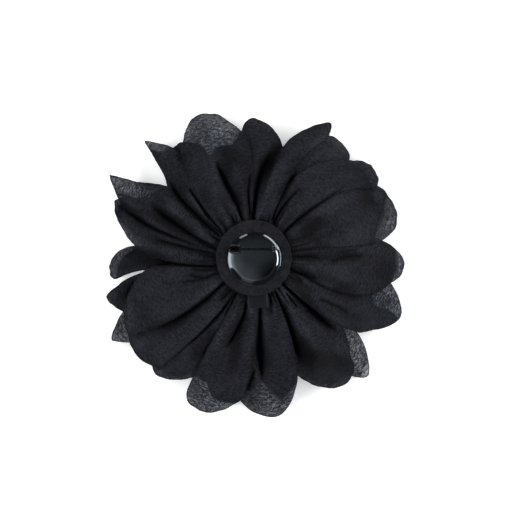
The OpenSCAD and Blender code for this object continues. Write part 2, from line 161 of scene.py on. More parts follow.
# Folds that the photograph shows, outwards from the felt, each sunk and darkened with painted shade: the
# petals that stay up beside one, because their edge lies along it, then its depth in millimetres, then its
# line in the photograph's pixels as x, y and half its width
FOLDS = [
    ((), 2.8, ((241.3, 220, 1), (238, 206.5, 3), (234.5, 198.5, 4), (228, 188, 3.3), (222.7, 178, 2.4),
        (217.5, 168, 1.4), (214.5, 158, 0.8))),
    ((), 0.8, ((234, 224, 0.9), (231, 214, 0.8))),
    ((), 1.3, ((249.5, 214, 0.9), (248.5, 199, 1.2), (248.3, 188, 1.8), (249.5, 178, 1.7), (251, 169, 0.9))),
    ((3,), 2.4, ((253.5, 218, 1), (254.5, 205, 1.5), (256, 193, 2), (258.5, 180, 2.5), (263, 168, 3),
        (269, 157, 3), (274, 150, 2))),
    ((1,), 1.3, ((222.5, 231, 0.9), (215.5, 223.5, 1.1), (206.7, 212.5, 1.2), (196, 198, 1.1),
        (188, 185, 0.8))),
    ((), 2.6, ((220, 236, 1), (210, 227, 1.6), (201, 218, 2), (192, 209.5, 2.2), (183, 200.5, 2.4),
        (175, 190.5, 2.4), (169, 181, 1.8), (166, 174, 1))),
    ((), 2.4, ((216, 247, 1), (197.5, 238.3, 1.6), (185.3, 230.3, 2.3), (174.7, 222.3, 2.7),
        (164, 215.5, 2.7), (154, 209, 2.4), (147, 203, 1.5))),
    ((20,), 1.7, ((214.7, 249.7, 0.9), (193.3, 242.3, 1.3), (174.7, 236.3, 1.6), (160, 231, 1.6),
        (146.7, 224, 1.6), (133.3, 214.5, 1.6), (122, 206, 1.6))),
    ((), 1.4, ((214.7, 253, 0.9), (192, 249, 1.3), (174.7, 244.3, 1.3), (160, 241, 1.2), (150, 239, 0.8))),
    ((19, 16), 1.7, ((214.7, 267.5, 1), (190.7, 265.7, 1.3), (172, 263, 1.8), (160, 257.5, 1.8),
        (147, 250, 1.4))),
    ((19, 16), 1.5, ((172, 263, 1.7), (157, 266.5, 1.4), (143, 271.5, 1))),
    ((), 1, ((217.3, 273.7, 1), (205.3, 278, 1.2), (193.3, 275.7, 1), (184, 274.8, 0.8))),
    ((), 0.8, ((206, 277.8, 0.9), (193.3, 281, 0.9), (179, 282.5, 0.7))),
    ((), 0.6, ((217, 270, 0.8), (200, 270.5, 0.8), (188, 269, 0.7))),
    ((16,), 2.1, ((222.7, 283, 1), (216, 289.5, 1.5), (206.7, 299.5, 1.8), (193.3, 309, 2.3),
        (180, 316.5, 2.7), (164, 323.5, 2.7), (151, 329, 1.8))),
    ((14,), 1.4, ((232, 293, 1), (225.3, 305, 1.3), (217.3, 315.7, 1.3), (206.7, 326.3, 1.2), (196, 337, 1),
        (185.3, 347.7, 0.8))),
    ((), 0.9, ((231, 290.5, 0.9), (224, 297, 1), (219.5, 301.5, 0.8))),
    ((), 0.9, ((236.5, 295, 0.9), (231, 306, 1), (224, 317, 0.8))),
    ((12,), 1.8, ((241, 296, 1), (236, 305, 1.4), (228, 318.3, 1.6), (220, 331.7, 1.6), (213.3, 341, 1.4),
        (206.7, 351.7, 1.4), (201, 365, 1))),
    ((), 2.1, ((246.7, 305, 1), (244.3, 317, 1.8), (239, 326.3, 2.2), (233.3, 335.7, 1.9), (228, 343.7, 1.4),
        (222.5, 350, 0.9))),
    ((), 3, ((259.5, 300, 0.7), (259.3, 318, 0.9), (259.3, 330, 1.6), (259.8, 341, 2.8), (261, 352, 3.8),
        (262, 362, 3.6), (262.5, 372, 2.6), (262.5, 388, 1))),
    ((), 0.9, ((269.5, 296, 0.9), (270.5, 306, 1), (271.5, 317, 0.8))),
    ((12,), 0.8, ((254, 371, 1.5), (250, 381, 1.8), (246, 390, 1.6), (241, 399, 1))),
    ((11,), 2.4, ((274.7, 292.3, 1.2), (280, 305, 1.5), (285.5, 318.3, 1.7), (290, 333, 2.2),
        (294, 346.3, 2.8), (297.5, 358, 3), (300, 367, 2))),
    ((), 1.4, ((286, 294, 0.9), (290, 299, 1.4), (294, 304, 1.3), (298, 309, 0.8))),
    ((8,), 2.6, ((285.3, 285, 1), (292, 289.5, 2), (301.5, 298, 3.2), (310.5, 307.5, 3.4), (319.5, 317, 2.8),
        (330, 326, 2), (341, 334, 1.2))),
    ((), 1.6, ((290.7, 269.7, 1), (301.3, 273, 1.6), (309.3, 276.3, 1.4), (319, 279.3, 0.8))),
    ((), 1, ((290, 273, 1), (297, 278, 1.7), (303, 283, 1))),
    ((), 0.7, ((321, 299.5, 0.8), (337, 306.3, 1.2), (345.3, 312, 1.3), (352, 316, 0.9))),
    ((3,), 2.4, ((272, 219, 0.9), (275, 203, 1.9), (279.5, 194, 2.4), (285, 186, 1.9), (291.7, 178, 1.4),
        (298.5, 172.3, 1))),
    ((), 1.4, ((272.5, 222, 0.9), (277.5, 214.3, 1.4), (283, 206.3, 1.3), (289.5, 198.3, 1.1),
        (296.5, 191.5, 0.9), (303.3, 186.3, 0.8))),
    ((5,), 1.4, ((283, 232, 1), (292.5, 223, 1.2), (303.2, 215, 1.2), (315.2, 205.7, 1.1), (327.2, 197.7, 1),
        (337.8, 191, 0.9))),
    ((), 0.7, ((322, 201, 0.8), (337.8, 191, 0.9), (347, 185.5, 0.8))),
    ((), 0.6, ((290, 241.7, 0.9), (305.3, 237, 1), (317.3, 233, 0.8))),
    ((), 0.6, ((292, 257.3, 0.9), (310, 257.8, 1), (324, 258.5, 0.8))),
    ((), 0.6, ((333, 261, 1.2), (345, 257, 1.4), (356, 256, 1.2), (366, 258, 0.9))),
    ((), 0.4, ((340, 252, 0.9), (352, 250, 0.9), (362, 249, 0.8))),
    ((16,), 0.9, ((127, 298, 1.5), (130, 290, 2), (134, 283, 2), (139, 277, 1.3))),
]

# Crests beside the folds, outwards from the felt, lifted and lightened with painted highlight: height in
# millimetres, how much lighter, and the line in the photograph's pixels as for a fold
CRESTS = [
    (0.6, 0.5, ((239.5, 219, 1), (231, 205, 2), (224, 191, 2.2), (217, 177, 2), (212, 163, 1.8),
        (210, 150, 1.5))),
    (0.4, 0.3, ((221, 238, 1), (205, 229, 2.5), (192, 219, 3), (178, 208, 3), (166, 197, 2.5))),
    (0.3, 0.2, ((223, 232, 1), (211, 221, 1.5), (199, 208, 1.8), (188, 195, 1.8), (181, 184, 1.5))),
    (0.5, 0.5, ((253, 302, 1.2), (253.5, 318, 2), (252.5, 334, 2.5), (249, 350, 2.5), (245, 365, 2))),
    (0.4, 0.35, ((242, 299, 1), (235, 311, 1.6), (227, 325, 2), (219, 341, 2.2), (212, 356, 2))),
    (0.4, 0.5, ((284, 292, 1), (289, 305, 1.6), (296, 318, 1.8), (303, 330, 1.8), (312, 341, 2))),
    (0.3, 0.25, ((263, 300, 1), (266, 318, 1.8), (268, 338, 2.2), (271, 356, 2.2))),
    (0.5, 0.4, ((258, 219, 1), (263, 205, 1.6), (270, 188, 2), (277, 170, 2), (283, 156, 2))),
    (0.3, 0.25, ((214, 251, 0.8), (192, 245.5, 1.2), (174, 240, 1.4), (158, 235.5, 1.4))),
    (0.3, 0.2, ((214, 260, 1), (192, 257, 2), (172, 252, 2.4), (155, 247, 2))),
    (0.3, 0.25, ((287, 236, 1), (306, 222, 1.5), (322, 211, 2), (338, 201, 2), (350, 194, 2))),
    (0.3, 0.15, ((222, 279, 1), (206, 291, 2), (190, 303, 2.5), (170, 312, 3))),
    (0.3, 0.3, ((292, 263, 1), (310, 265, 2), (330, 268, 2.5), (352, 272, 2.5))),
    (0.25, 0.4, ((229, 224, 0.8), (225, 214, 1.1), (219, 203, 0.9))),
    (0.25, 0.4, ((240, 221, 0.8), (236.5, 213, 1), (232, 204, 0.8))),
    (0.25, 0.35, ((206, 218, 0.8), (196, 202, 1), (187, 186, 0.8))),
    (0.3, 0.5, ((274.5, 286, 0.9), (279, 297, 1.3), (284, 308, 1))),
    (0.3, 0.45, ((288, 287, 0.8), (296, 296, 1.1), (305, 307, 0.9))),
    (0.25, 0.35, ((262, 302, 0.8), (262, 313, 1), (263, 324, 0.8))),
    (0.25, 0.4, ((271.5, 296, 0.8), (274, 306, 1), (276, 315, 0.8))),
    (0.25, 0.35, ((234, 293, 0.8), (229, 306, 1), (222, 320, 1), (213, 336, 0.8))),
    (0.25, 0.35, ((279, 224, 0.8), (285, 216, 1), (292, 207, 0.8))),
    (0.25, 0.3, ((216, 246, 0.7), (207, 240, 1), (196, 233, 0.8))),
    (0.3, 0.3, ((290, 305, 0.9), (297, 322, 1.3), (306, 342, 1.3))),
]

# Broad soft patches, as x, y, half length and half width in the photograph's pixels, the angle that their
# length lies at, and how much darker (above 0) or lighter (below 0) they are. The darker ones are painted
# shade and shadow, some of them also a lower ply showing through; the lighter ones are painted highlight
PATCHES = [
    (159, 204, 9, 7, 143, 0.5), (167, 216, 17, 6, 145, 0.45), (131, 212, 17, 5, 145, 0.7),
    (311, 224, 15, 8, 20, 0.6), (236, 352, 24, 6, 78, 0.45), (304, 350, 19, 8, 118, 0.75),
    (327, 361, 24, 10, -8, 0.45), (345, 291, 13, 8, -10, 0.45), (271, 160, 18, 7, 62, 1),
    (291, 172, 10, 6, 55, 0.4), (314, 313, 22, 6, -46, 0.35), (349, 256, 19, 5, 0, 0.35),
    (384, 271, 12, 13, 0, 0.3), (149, 258, 22, 8, 168, 0.75), (124, 292, 10, 6, 55, 0.3),
    (228, 160, 10, 14, -10, 0.35), (173, 324, 20, 6, 33, 0.45), (201, 345, 20, 6, 60, 0.4),
    (368, 194, 9, 20, 0, 0.25), (176, 341, 24, 7, 35, -0.15), (203, 231, 15, 4, 140, -0.3),
    (330, 148, 15, 10, -30, -0.4), (316, 152, 15, 4, 55, -0.3), (330, 203, 26, 7, 22, -0.2),
    (358, 236, 26, 8, 10, -0.2), (208, 201, 15, 6, 121, 0.4), (165, 223, 22, 4.5, 150, 0.4),
    (156, 240, 13, 5, 155, 0.35), (287, 218, 11, 6, 50, 0.35), (312, 232, 13, 7, 35, 0.25),
    (309, 259, 16, 4, -3, 0.3), (306, 297, 15, 4, -48, 0.3), (304, 362, 14, 6, -55, 0.4),
    (137, 265, 24, 5, 10, 0.4), (156, 327, 12, 5, 35, 0.25), (281, 292, 10, 6, -60, -0.4),
    (217, 286, 9, 6, 50, -0.25), (206, 237, 10, 4, 145, -0.3), (167, 209, 18, 3.5, 147, -0.35),
    (205, 330, 24, 5, 62, -0.2), (257, 371, 13, 5, 90, -0.3), (350, 250, 22, 5, 0, -0.35),
    (340, 191, 12, 4, 10, -0.25), (335, 322, 12, 5, -25, -0.25), (205, 160, 50, 26, 25, 0.1),
    (246, 165, 26, 8, 95, 0.25), (267, 168, 26, 6, 65, 0.2), (240, 352, 34, 22, 75, 0.12),
    (222, 190, 18, 5, 105, 0.15), (272, 350, 26, 10, 95, 0.12), (328, 279, 14, 4, -15, 0.25),
    (355, 319, 12, 5, -5, 0.2), (318, 335, 12, 4, -40, 0.15), (320, 377, 20, 7, -10, 0.15),
    (150, 333, 10, 6, 20, 0.15), (118, 206, 6, 10, 0, 0.5), (342, 350, 9, 7, -30, -0.3),
    (252, 340, 5, 16, 0, 0.25), (300, 360, 12, 6, -60, 0.3), (265, 178, 16, 5, 65, 0.25),
    (370, 221, 6, 12, 0, -0.25), (377, 189, 5, 11, 0, -0.45), (141, 346, 14, 6, -50, -0.25),
    (130, 318, 4, 14, 0, -0.5), (317, 143, 16, 5, 50, -0.3), (262, 123, 15, 5, -15, -0.4),
    (280, 190, 10, 4, 60, 0.35), (277, 291, 7, 6, -60, -0.25), (237, 306, 14, 3, 57, 0.3),
    (222, 313, 20, 3.5, 58, -0.25), (244, 308, 9, 3, 80, -0.3), (383, 248, 14, 5, -5, -0.3),
]

# Where a petal's single ply lets the ground through: the petal, the strength, and the inner line of that part
# of it, in the photograph's pixels
SHEER = {
    1: (0.95, ((240, 130), (238, 138), (232, 146), (222, 147), (215, 149), (210.5, 160), (205.5, 150),
        (199, 144), (186, 143))),
    4: (0.55, ((348, 166), (343, 157), (337, 150), (329, 145), (318, 141))),
    5: (0.4, ((345, 164), (356, 167), (364, 175), (368, 187), (371, 197))),
    6: (0.7, ((385, 190), (383, 206), (380, 218), (376, 229), (372, 237))),
    7: (0.95, ((394, 246), (396, 258), (397, 268), (392, 278))),
    8: (0.9, ((384, 281), (374, 290), (370, 297), (374, 305), (391, 312), (402, 322), (395, 340))),
    9: (1.05, ((350, 365), (343, 345), (340, 330))),
    10: (0.55, ((297, 366), (304, 374), (314, 380), (326, 382), (338, 380), (346, 373), (351, 364))),
    11: (0.86, ((252, 390), (257, 384), (262, 380), (267, 386), (275, 394), (281, 398), (287, 395),
        (292, 384))),
    12: (1.02, ((198, 376), (202, 380.5), (207, 381), (209, 388), (213, 398), (220, 401), (228, 402.5),
        (236, 402))),
    13: (0.6, ((152, 358), (160, 368), (172, 374), (184, 374), (194, 370))),
    15: (0.9, ((150, 300), (150, 345))),
    17: (0.6, ((113, 288), (111, 296), (115, 303))),
    18: (0.75, ((134, 250), (125, 257), (120, 264), (118, 277))),
    19: (0.6, ((117, 216), (127, 225), (135, 233), (143, 239), (145, 247))),
    20: (0.65, ((164, 191), (151, 198), (140, 200), (127, 200), (117, 193))),
    21: (0.9, ((174, 147), (169, 149.5), (163, 152), (158, 152), (151, 149))),
}

# Places there that let more (above 0) or less (below 0) of it through, as for the patches
SHEER_SPOTS = [
    (200, 126, 15, 11, 90, -0.22), (225, 132, 14, 9, 120, 0.25), (251, 399, 12, 12, 60, -0.3),
    (282, 397, 8, 7, 60, -0.2), (196, 391, 9, 16, 0, -0.35), (219, 402, 12, 9, 0, 0.35),
    (355, 362, 10, 9, 0, 0.2), (354, 350, 18, 9, 120, 0.2), (387, 304, 10, 7, 0, -0.3),
    (386, 290, 10, 7, 0, 0.1), (128, 188, 18, 6, 155, 0.15), (152, 186, 16, 3.5, 163, -0.6),
    (118, 325, 6, 12, 0, -0.35), (116, 264, 6, 12, 0, -0.15), (383, 209, 7, 10, 0, -0.25),
    (390, 225, 6, 7, 0, 0.25),
]


def ramp(x, a, b):
    return np.clip((x - a) / (b - a), 0, 1)


def ease(t):
    return t * t * (3 - 2 * t)


def mix(a, b, t):
    return a + (b - a) * t


def middle_of(node):
    """The middle of a node's box, in millimetres."""
    low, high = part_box(node)
    return [(a + b) / 2 / MM for a, b in zip(low, high)]


DISC_X, DISC_Y, _ = middle_of("felt_disc")


def mixed_waves(rng, angle, counts, low, high):
    """One wave for each count, with its height between low and high and its phase left to chance."""
    return sum(rng.uniform(low, high) * np.sin(k * angle + rng.uniform(0, 2 * math.pi)) for k in counts)


def parabola(r, a, b, c):
    """The curve that is a, b and c at the inner, middle and outer radius."""
    return (
        a * (r - MIDDLE_R) * (r - OUTER_R) / ((INNER_R - MIDDLE_R) * (INNER_R - OUTER_R))
        + b * (r - INNER_R) * (r - OUTER_R) / ((MIDDLE_R - INNER_R) * (MIDDLE_R - OUTER_R))
        + c * (r - INNER_R) * (r - MIDDLE_R) / ((OUTER_R - INNER_R) * (OUTER_R - MIDDLE_R))
    )


def spots(pixels):
    """Photograph pixels (x, y, ...) to millimetres from the disc's axis; what follows x and y is a length."""
    a = np.array(pixels, float)
    a[:, 0] = (a[:, 0] - DISC_PIXEL[0]) * MM_PER_PIXEL
    a[:, 1] = (DISC_PIXEL[1] - a[:, 1]) * MM_PER_PIXEL
    a[:, 2:] *= MM_PER_PIXEL
    return a


def valley(x, y, line):
    """How deep each place lies in a fold, from 0 to 1: its narrow floor, and the broad slopes on both sides.

    Both die away at the line's outer end.
    """
    steps = np.linalg.norm(np.diff(line[:, :2], axis=0), axis=1)
    before = np.concatenate([[0], np.cumsum(steps)]) / steps.sum()
    nearest = np.full(x.shape, np.inf)
    run = np.zeros(x.shape)
    for k, (a, b) in enumerate(zip(line[:-1], line[1:])):
        t = np.clip(((x - a[0]) * (b[0] - a[0]) + (y - a[1]) * (b[1] - a[1])) / steps[k] ** 2, 0, 1)
        off = np.hypot(x - mix(a[0], b[0], t), y - mix(a[1], b[1], t)) / mix(a[2], b[2], t)
        closer = off < nearest
        nearest = np.where(closer, off, nearest)
        run = np.where(closer, mix(before[k], before[k + 1], t), run)
    fade = 1 - ease(ramp(run, FOLD_END, 1))
    return np.exp(-nearest ** 2) * fade, np.exp(-(nearest / SLOPE_WIDTH) ** 2) * fade


def patch(x, y, row):
    """How far each place lies inside a patch with a soft border, from 0 to 1."""
    px, py, half_long, half_wide, turn, _ = row
    (cx, cy, half_long, half_wide), = spots([(px, py, half_long, half_wide)])
    c, s = math.cos(math.radians(turn)), math.sin(math.radians(turn))
    along, across = (x - cx) * c + (y - cy) * s, (y - cy) * c - (x - cx) * s
    return np.exp(-((along / half_long) ** 2 + (across / half_wide) ** 2) ** 1.6)


class Petal:
    """One row of the table, with the shape functions that the CAD has too."""

    def __init__(self, number, row):
        self.number, self.node = number, f"petal_{number:02d}"
        (self.neck, self.inner, self.middle, self.outer, self.tip,
         self.side, self.round, self.level, self.folds) = row

    def edge(self, side, r):
        neck = self.neck + (NECK_HALF if side else -NECK_HALF)
        fan = mix(neck, self.inner[side], ramp(r, FAN_R, INNER_R))
        blade = parabola(np.minimum(r, OUTER_R), self.inner[side], self.middle[side], self.outer[side])
        return np.where(r < INNER_R, fan, blade)

    def rim(self, u):
        tip_u = mix(-1, 1, ramp(self.tip[0], *self.outer))
        side = (u >= tip_u).astype(int)
        reach = np.where(side == 0, 1 + tip_u, 1 - tip_u)
        w = np.clip(np.abs(u - tip_u) / np.maximum(reach, 0.01), 0, 1)
        roundness = np.array(self.round, float)[side]
        low = np.array(self.side, float)[side]
        return low + (self.tip[1] - low) * (1 - w ** roundness) ** (1 / roundness)

    def plies(self, u, r):
        step = mix(PLY_INNER, PLY_OUTER, ease(ramp(r, 17, 36))) * ramp(r, HUB_R, FAN_R)
        return mix(*self.level, ease(ramp(u, -0.5, 0.5))) * step

    def own_folds(self, u, r):
        across = sum(height * np.exp(-((u - at) / FOLD_WIDTH) ** 2) for at, height in self.folds)
        along = ramp(r, 16, 26) * (1 - 0.5 * ramp(r, 40, self.tip[1]))
        return across * along * (1 - ramp(np.abs(u), 0.4, 1) ** 2)

    def points(self):
        """The petal's places, how light each is painted (shade and highlight), how near the cut edge, and its
        place on the flat cloth.
        """
        u, v = np.meshgrid(STEPS_ACROSS, STEPS_ALONG, indexing="ij")
        rng = np.random.default_rng(700 + self.number)
        rim = self.rim(u) + mixed_waves(rng, u * math.pi, (2, 3, 5), 0.056, 0.14) * (1 - u ** 6)
        r = mix(HUB_R, rim, v)
        low, high = self.edge(0, r), self.edge(1, r)
        angle = mix(low, high, (u + 1) / 2)
        x, y = r * np.cos(np.radians(angle)), r * np.sin(np.radians(angle))
        half_width = np.radians((high - low) / 2) * r
        cloth = np.stack([u * half_width.clip(4), r, np.full(u.shape, 20.0 * self.number)], axis=-1)
        to_edge = np.minimum((1 - np.abs(u)) * half_width, (1 - v) * (rim - HUB_R))
        cut = np.exp(-(to_edge / CUT_EDGE) ** 2) * ramp(r, 20, 26)
        depth, dark = photo_folds(x, y, self.number)
        pleats = gathers(r, angle)
        z = drape(r, angle) + pleats - depth + self.plies(u, r)
        z = z + self.crinkle(cloth) * ramp(r, 14, 22) + self.rim_curl(u, v)
        # Painted shade: darker low in the pleats and beside the felt's rim, painted highlight on the pleats'
        # tops, a little darker all over
        felt_shade = 1 - ramp(r, FELT_R + 0.2, FELT_R + 2.4)
        dark = dark - 1.1 * pleats + 0.6 * felt_shade + 0.08
        light = np.where(dark > 0, np.exp(-1.7 * dark), 1 - 0.75 * dark)
        return np.stack([DISC_X + x, DISC_Y + y, np.maximum(z, CLOTH / 2)], axis=-1), light, cut, cloth

    def crinkle(self, cloth):
        """Crepe's own crinkles, which run across the petal, with a few longer wrinkles."""
        rng = np.random.default_rng(300 + self.number)
        across, along, _ = np.moveaxis(cloth, -1, 0)
        total = 0 * across
        for _ in range(30):
            wave = across * rng.normal(0, 0.16) + along * rng.uniform(0.42, 0.85)
            total = total + 0.014 * np.cos(2 * math.pi * (wave + rng.uniform()))
        for _ in range(16):
            wave = across * rng.normal(0, 0.11) + along * rng.normal(0, 0.06)
            total = total + 0.028 * np.cos(2 * math.pi * (wave + rng.uniform()))
        return total

    def rim_curl(self, u, v):
        """The free rim turns up or down a little, in short waves."""
        rng = np.random.default_rng(500 + self.number)
        waves = mixed_waves(rng, u * math.pi / 2, (2, 3, 5, 7), 0.1, 0.25)
        lift = rng.uniform(-0.3, 0.8)
        return ease(ramp(v, 0.78, 1)) * (waves + lift * ramp(v, 0.86, 1)) * (1 - 0.7 * np.abs(u) ** 4)


def photo_folds(x, y, number):
    """Depth of the folds that the plies share at a petal, and how dark each place is painted: painted shade in
    the folds, painted highlight on the crests, and both of these in the patches, with lower plies showing
    through in some.
    """
    depth, dark = 0 * x, 0 * x
    for stays_up, deep, line in FOLDS:
        if number in stays_up:
            continue
        floor, slopes = valley(x, y, spots(line))
        own = deep * (0.7 * floor + 0.4 * slopes)
        depth = np.maximum(depth, own) + CROSSING * np.minimum(depth, own)
        # Painted shade along the fold, darkest in its floor
        own = min(1.2, 0.4 + 0.3 * deep) * (0.75 * floor + 0.5 * slopes)
        dark = np.maximum(dark, own) + CROSSING * np.minimum(dark, own)
    for height, light, line in CRESTS:
        crest, slopes = valley(x, y, spots(line))
        depth = depth - height * (0.6 * crest + 0.4 * slopes)
        # Painted highlight along the crest
        dark = dark - light * (0.5 * crest + 0.5 * slopes)
    for row in PATCHES:
        # Painted shade and highlight from the patches, with darker lower plies in some
        share = patch(x, y, row) * row[-1]
        depth = depth + PATCH_DEPTH * share
        dark = dark + share
    return depth, dark


PETAL_ROWS = [Petal(number, row) for number, row in PETALS.items()]
NEAR_EDGE = SHORT_CELLS[-2::-1]
STEPS_ALONG = np.concatenate([np.linspace(0, 1 - RIM_SHARE, ALONG - 2), 1 - RIM_SHARE * NEAR_EDGE])
STEPS_ACROSS = np.concatenate([
    SIDE_SHARE * SHORT_CELLS[:-1] - 1,
    np.linspace(SIDE_SHARE - 1, 1 - SIDE_SHARE, ACROSS - 5),
    1 - SIDE_SHARE * NEAR_EDGE,
])


def drape(r, angle):
    """The height that all plies share: the fall outwards, soft waves and the petals' main folds."""
    waves = np.sin(np.radians(5 * angle + 40)) + 0.6 * np.sin(np.radians(8 * angle - 70))
    z = ROOT_HEIGHT - DROOP * ramp(r, 14, 70) ** 1.4 + WAVE_HEIGHT * (r / 60) ** 2 * waves
    for petal in PETAL_ROWS:
        low, high = petal.edge(0, r), petal.edge(1, r)
        turned = (angle - low + 120) % 360 - 120
        u = 2 * turned / (high - low) - 1
        z = z + np.where(np.abs(u) < 1, 0.55 * petal.own_folds(u, r), 0)
    return z


def gathers(r, angle):
    """Small pleats all round that fan out from under the felt and die away."""
    rng = np.random.default_rng(41)
    total = 0 * r
    for k in range(GATHERS):
        at = 360 / GATHERS * (k + rng.uniform(-0.3, 0.3))
        end, height = rng.uniform(21, 38), rng.uniform(-0.8, 0.45)
        lean, half = rng.uniform(-4, 4), rng.uniform(0.28, 0.62)
        off = (angle - at - lean * ramp(r, INNER_R, end) + 180) % 360 - 180
        width = half * (1 + 0.9 * ramp(r, INNER_R, end))
        fade = ramp(r, 12, 15) * (1 - ease(ramp(r, INNER_R, end)))
        total = total + height * np.exp(-(np.radians(off) * r / width) ** 2) * fade
    return total


def sheer_share(number, points):
    """How far each place of a petal lets the ground through, from its inner line outwards."""
    strength, line = SHEER[number]
    line = spots(line)
    x, y = points[..., 0] - DISC_X, points[..., 1] - DISC_Y
    turn = np.exp(-1j * math.atan2(line[:, 1].mean(), line[:, 0].mean()))
    place, inner = (x + 1j * y) * turn, (line[:, 0] + 1j * line[:, 1]) * turn
    order = np.argsort(np.angle(inner))
    start = np.interp(np.angle(place), np.angle(inner)[order], np.abs(inner)[order])
    soft = 0.4 + 2.2 * max(0, 1 - strength)
    far = np.abs(place) - start
    share = strength * ease(ramp(far, -soft, 2 * soft)) * mix(0.88, 1.12, ramp(far, 0, 8))
    for row in SHEER_SPOTS:
        share = share * (1 + row[-1] * patch(x, y, row))
    return share


def new_piece(name, places, faces):
    """A smooth mesh with its points at places in millimetres."""
    mesh = bpy.data.meshes.new(name)
    mesh.from_pydata((np.asarray(places, float) * MM).tolist(), [], faces)
    mesh.shade_smooth()
    piece = bpy.data.objects.new(name, mesh)
    bpy.context.scene.collection.objects.link(piece)
    return piece


def places_of(piece):
    return np.array([vertex.co for vertex in piece.data.vertices]) / MM


def move_to(piece, places):
    piece.data.vertices.foreach_set("co", (places * MM).ravel())
    piece.data.update()


def stand_in(piece, node, material):
    """Dress a piece that rides on the flower's body in place of one of the CAD's nodes."""
    piece.data.materials.append(material)
    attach(piece, "flower")
    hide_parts(node)


def normals_of(points):
    du, dv = np.gradient(points, axis=0), np.gradient(points, axis=1)
    n = np.cross(du, dv)
    n /= np.maximum(np.linalg.norm(n, axis=-1, keepdims=True), 1e-9)
    return n * np.sign(n[..., 2:].mean())


def thick_sheet(name, points, thickness):
    """A closed thin mesh on both sides of a grid of points, in millimetres. The thickness may vary."""
    rows, columns = points.shape[:2]
    n = normals_of(points) * np.asarray(thickness)[..., None] / 2
    places = np.concatenate([(points + n).reshape(-1, 3), (points - n).reshape(-1, 3)])
    i, j = np.meshgrid(np.arange(rows - 1), np.arange(columns - 1), indexing="ij")
    a = (i * columns + j).ravel()
    quads = np.stack([a, a + columns, a + columns + 1, a + 1], axis=1)
    up = np.cross(points[1, 0] - points[0, 0], points[0, 1] - points[0, 0])[2] > 0
    layer = rows * columns
    top, bottom = (quads, quads[:, ::-1] + layer) if up else (quads[:, ::-1], quads + layer)
    ring = np.concatenate([
        np.arange(columns - 1),
        np.arange(rows - 1) * columns + columns - 1,
        (rows - 1) * columns + np.arange(columns - 1, 0, -1),
        np.arange(rows - 1, 0, -1) * columns,
    ])
    after = np.roll(ring, -1)
    wall = np.stack([ring, after, after + layer, ring + layer], axis=1)
    if not up:
        wall = wall[:, ::-1]
    piece = new_piece(name, places, np.concatenate([top, bottom, wall]).tolist())
    piece.data.validate()
    return piece


def area_of(points):
    """Area of a grid of points, in square metres."""
    a = points[1:, :-1] - points[:-1, :-1]
    b = points[:-1, 1:] - points[:-1, :-1]
    return float(np.linalg.norm(np.cross(a, b), axis=-1).sum()) * MM * MM


def flat_size(points):
    """Width, length and area of the flat cut that a petal's grid of points is gathered from, in metres."""
    area = area_of(points)
    length = float(np.linalg.norm(np.diff(points, axis=1), axis=-1).sum(1).max()) * MM
    plan = points * (1, 1, 0)
    ahead = plan[:, -1].mean(0) - plan[:, 0].mean(0)
    ahead /= np.linalg.norm(ahead)
    plan_length = np.ptp(plan @ ahead) * MM
    plan_width = np.ptp(plan @ np.array([-ahead[1], ahead[0], 0])) * MM
    fullness = (area / area_of(plan)) / (length / plan_length)
    return float(plan_width * max(1, fullness)), length, area


def set_point_values(piece, name, values):
    """Store a value or a vector for each point of one side; both sides get the same."""
    values = np.asarray(values, np.float32)
    kind, field = ("FLOAT_VECTOR", "vector") if values.ndim == 3 else ("FLOAT", "value")
    attribute = piece.data.attributes.new(name, kind, "POINT")
    attribute.data.foreach_set(field, np.concatenate([values.ravel(), values.ravel()]))


